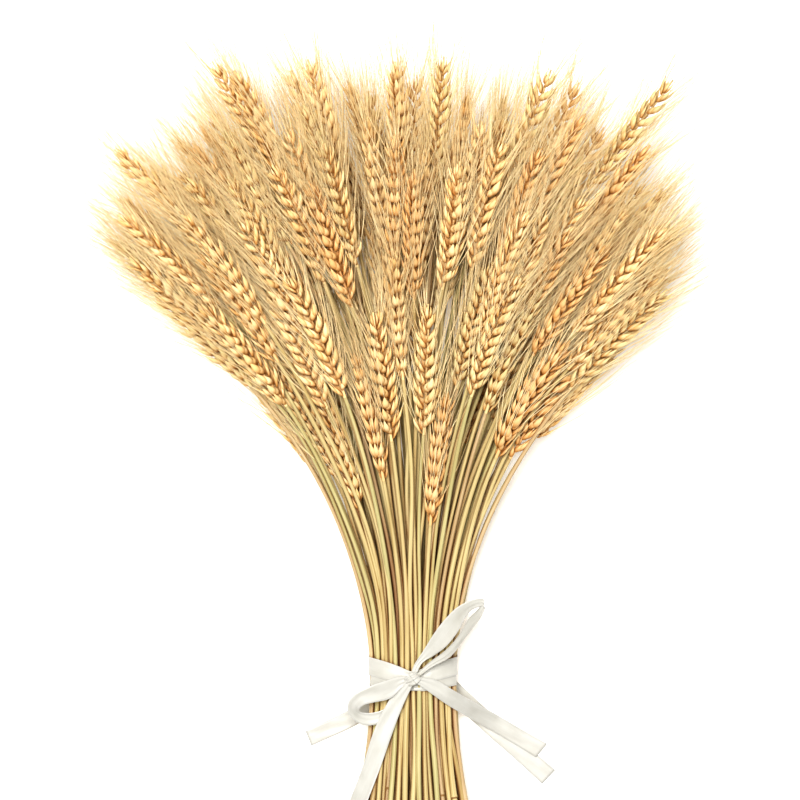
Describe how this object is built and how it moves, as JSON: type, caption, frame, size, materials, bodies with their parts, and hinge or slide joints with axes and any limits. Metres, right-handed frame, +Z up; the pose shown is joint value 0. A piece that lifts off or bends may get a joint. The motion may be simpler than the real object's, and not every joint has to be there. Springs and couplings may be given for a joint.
{
  "type": "dried wheat bundle",
  "caption": "Bundle of dried wheat stalks with bearded ears, tied near the cut ends with a white ribbon bow and lying on its side.",
  "frame": {"origin": "on the surface the bundle lies on, under the middle of its box", "axes": "+X across the bundle to the right, +Y along it from the cut ends to the ears, +Z up from the surface, through the bow"},
  "size_m": [0.3756, 0.4918, 0.1506],
  "materials": {
    "dried_wheat": "matte",
    "white_ribbon": "satin"
  },
  "bodies": {
    "root": {"stalk_layer1_1": "dried_wheat", "stalk_layer1_2": "dried_wheat", "stalk_layer1_3": "dried_wheat", "stalk_layer1_4": "dried_wheat", "stalk_layer1_5": "dried_wheat", "stalk_layer2_1": "dried_wheat", "stalk_layer2_2": "dried_wheat", "stalk_layer2_3": "dried_wheat", "stalk_layer2_4": "dried_wheat", "stalk_layer2_5": "dried_wheat", "stalk_layer2_6": "dried_wheat", "stalk_layer3_1": "dried_wheat", "stalk_layer3_2": "dried_wheat", "stalk_layer3_3": "dried_wheat", "stalk_layer3_4": "dried_wheat", "stalk_layer3_5": "dried_wheat", "stalk_layer3_6": "dried_wheat", "stalk_layer3_7": "dried_wheat", "stalk_layer4_1": "dried_wheat", "stalk_layer4_2": "dried_wheat", "stalk_layer4_3": "dried_wheat", "stalk_layer4_4": "dried_wheat", "stalk_layer4_5": "dried_wheat", "stalk_layer4_6": "dried_wheat", "stalk_layer4_7": "dried_wheat", "stalk_layer4_8": "dried_wheat", "stalk_layer5_1": "dried_wheat", "stalk_layer5_2": "dried_wheat", "stalk_layer5_3": "dried_wheat", "stalk_layer5_4": "dried_wheat", "stalk_layer5_5": "dried_wheat", "stalk_layer5_6": "dried_wheat", "stalk_layer5_7": "dried_wheat", "stalk_layer6_1": "dried_wheat", "stalk_layer6_2": "dried_wheat", "stalk_layer6_3": "dried_wheat", "stalk_layer6_4": "dried_wheat", "stalk_layer6_5": "dried_wheat", "stalk_layer6_6": "dried_wheat", "stalk_layer6_7": "dried_wheat", "stalk_layer6_8": "dried_wheat", "stalk_layer7_1": "dried_wheat", "stalk_layer7_2": "dried_wheat", "stalk_layer7_3": "dried_wheat", "stalk_layer7_4": "dried_wheat", "stalk_layer7_5": "dried_wheat", "stalk_layer7_6": "dried_wheat", "stalk_layer7_7": "dried_wheat", "stalk_layer8_1": "dried_wheat", "stalk_layer8_2": "dried_wheat", "stalk_layer8_3": "dried_wheat", "stalk_layer8_4": "dried_wheat", "ribbon_band": "white_ribbon", "ribbon_knot": "white_ribbon", "bow_loop_right": "white_ribbon", "bow_loop_left": "white_ribbon", "tail_left": "white_ribbon", "tail_right": "white_ribbon", "back_tail_left": "white_ribbon", "back_tail_right": "white_ribbon"}
  },
  "joints": []
}
